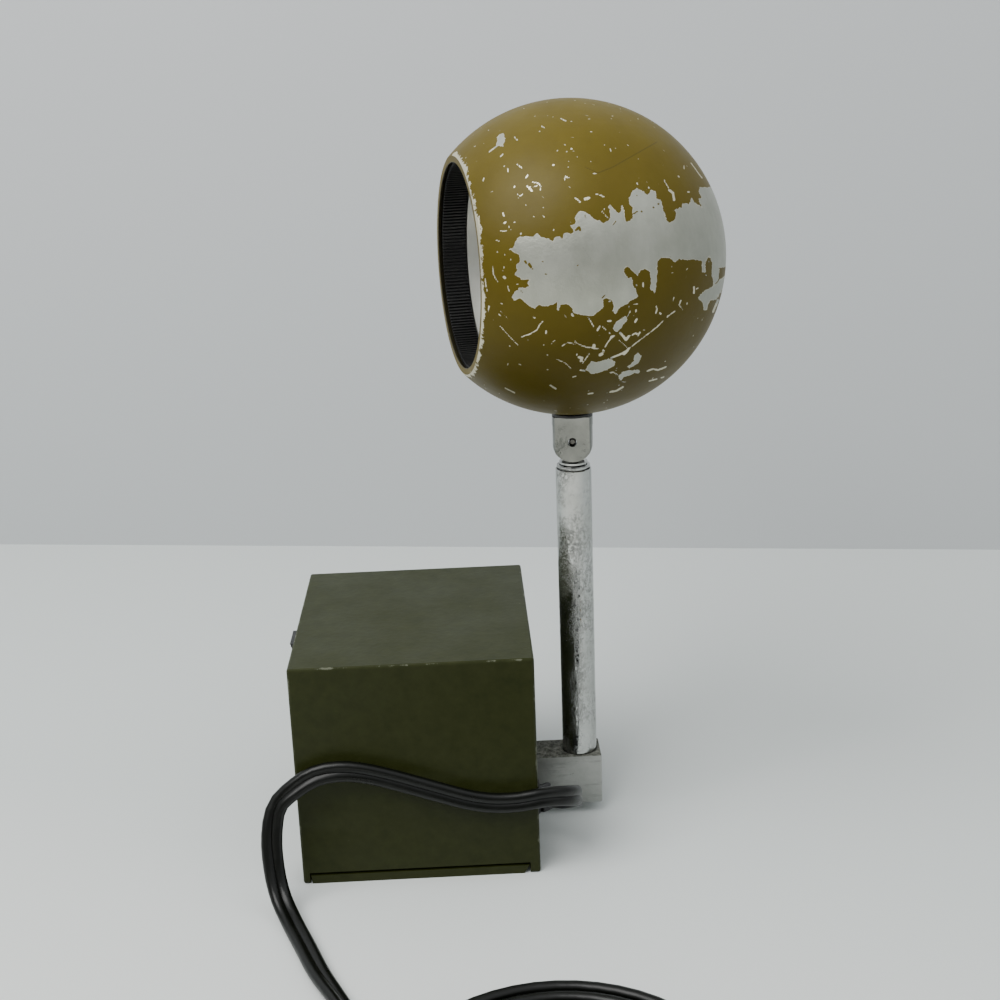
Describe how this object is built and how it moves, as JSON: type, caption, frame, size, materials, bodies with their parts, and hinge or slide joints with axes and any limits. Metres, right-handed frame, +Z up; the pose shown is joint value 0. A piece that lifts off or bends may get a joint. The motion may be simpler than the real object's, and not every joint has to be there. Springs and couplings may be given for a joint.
{
  "type": "desk lamp",
  "caption": "Desk lamp with a square transformer base, a telescoping arm on a swinging block, and a ball shade on a swivelling, tilting fork.",
  "frame": {"origin": "middle of the base's underside, on the surface it stands on", "axes": "+X from the front, where the switch is, to the rear, where the arm stands; +Y across the base; +Z up"},
  "size_m": [0.1455, 0.2167, 0.1945],
  "materials": {
    "green_paint": "worn dark olive green paint, semi-matt",
    "ochre_paint": "worn ochre paint on spun aluminium, bare in patches",
    "bright_metal": "plain plated steel",
    "core_iron": "varnished iron laminations",
    "winding_copper": "varnished copper wire under tape",
    "black_plastic": "black moulded plastic",
    "cord_vinyl": "glossy black vinyl",
    "cast_zinc": "dull grey zinc casting",
    "chrome": "chrome plate with pitting",
    "brass": "plain brass",
    "reflector": "satin white aluminium",
    "glass": "clear glass bulb"
  },
  "bodies": {
    "base": {"base_shell": "green_paint", "bottom_plate": "green_paint", "plate_screw_1": "bright_metal", "plate_screw_2": "bright_metal", "plate_screw_3": "bright_metal", "transformer_core": "core_iron", "transformer_winding": "winding_copper", "transformer_strap": "bright_metal", "switch_body": "black_plastic", "cord_bushing": "black_plastic", "cord_lead": "cord_vinyl", "cord_coil": "cord_vinyl", "cord_tail": "cord_vinyl", "coil_tie": "black_plastic", "plug_body": "cord_vinyl", "plug_blade_1": "brass", "plug_blade_2": "brass"},
    "rocker": {"switch_rocker": "black_plastic"},
    "arm": {"swing_block": "cast_zinc", "pivot_washer": "bright_metal", "pivot_nut": "brass", "outer_tube": "chrome"},
    "mid": {"mid_tube": "chrome"},
    "inner": {"inner_tube": "chrome"},
    "swivel": {"swivel_stud": "chrome"},
    "head": {"fork": "chrome", "fork_pin": "brass", "shade_gasket": "black_plastic", "ball_shade": "ochre_paint", "baffle_ring": "black_plastic", "reflector": "reflector", "bulb_glass": "glass", "bulb_cap": "brass", "socket_shell": "bright_metal", "socket_disc": "black_plastic", "stem_nut": "brass", "socket_strap": "bright_metal"}
  },
  "joints": [
    {"name": "power_rocker", "type": "hinge", "parent": "base", "child": "rocker", "pos_m": [-0.029, 0, 0.0472], "axis": [0, 1, 0], "range_deg": [-8, 8]},
    {"name": "arm_swing", "type": "hinge", "parent": "base", "child": "arm", "pos_m": [0.0313, 0, 0.01055], "axis": [1, 0, 0], "range_deg": [-75, 50]},
    {"name": "mid_slide", "type": "slide", "parent": "arm", "child": "mid", "axis": [0, 0, 1], "range_m": [0, 0.062]},
    {"name": "inner_slide", "type": "slide", "parent": "mid", "child": "inner", "axis": [0, 0, 1], "range_m": [0, 0.062]},
    {"name": "head_swivel", "type": "hinge", "parent": "inner", "child": "swivel", "pos_m": [0.0446, 0, 0.1], "axis": [0, 0, 1], "range_deg": [-170, 170]},
    {"name": "head_tilt", "type": "hinge", "parent": "swivel", "child": "head", "pos_m": [0.0446, 0, 0.1072], "axis": [0.1045, 0.9945, 0], "range_deg": [-90, 90]}
  ]
}
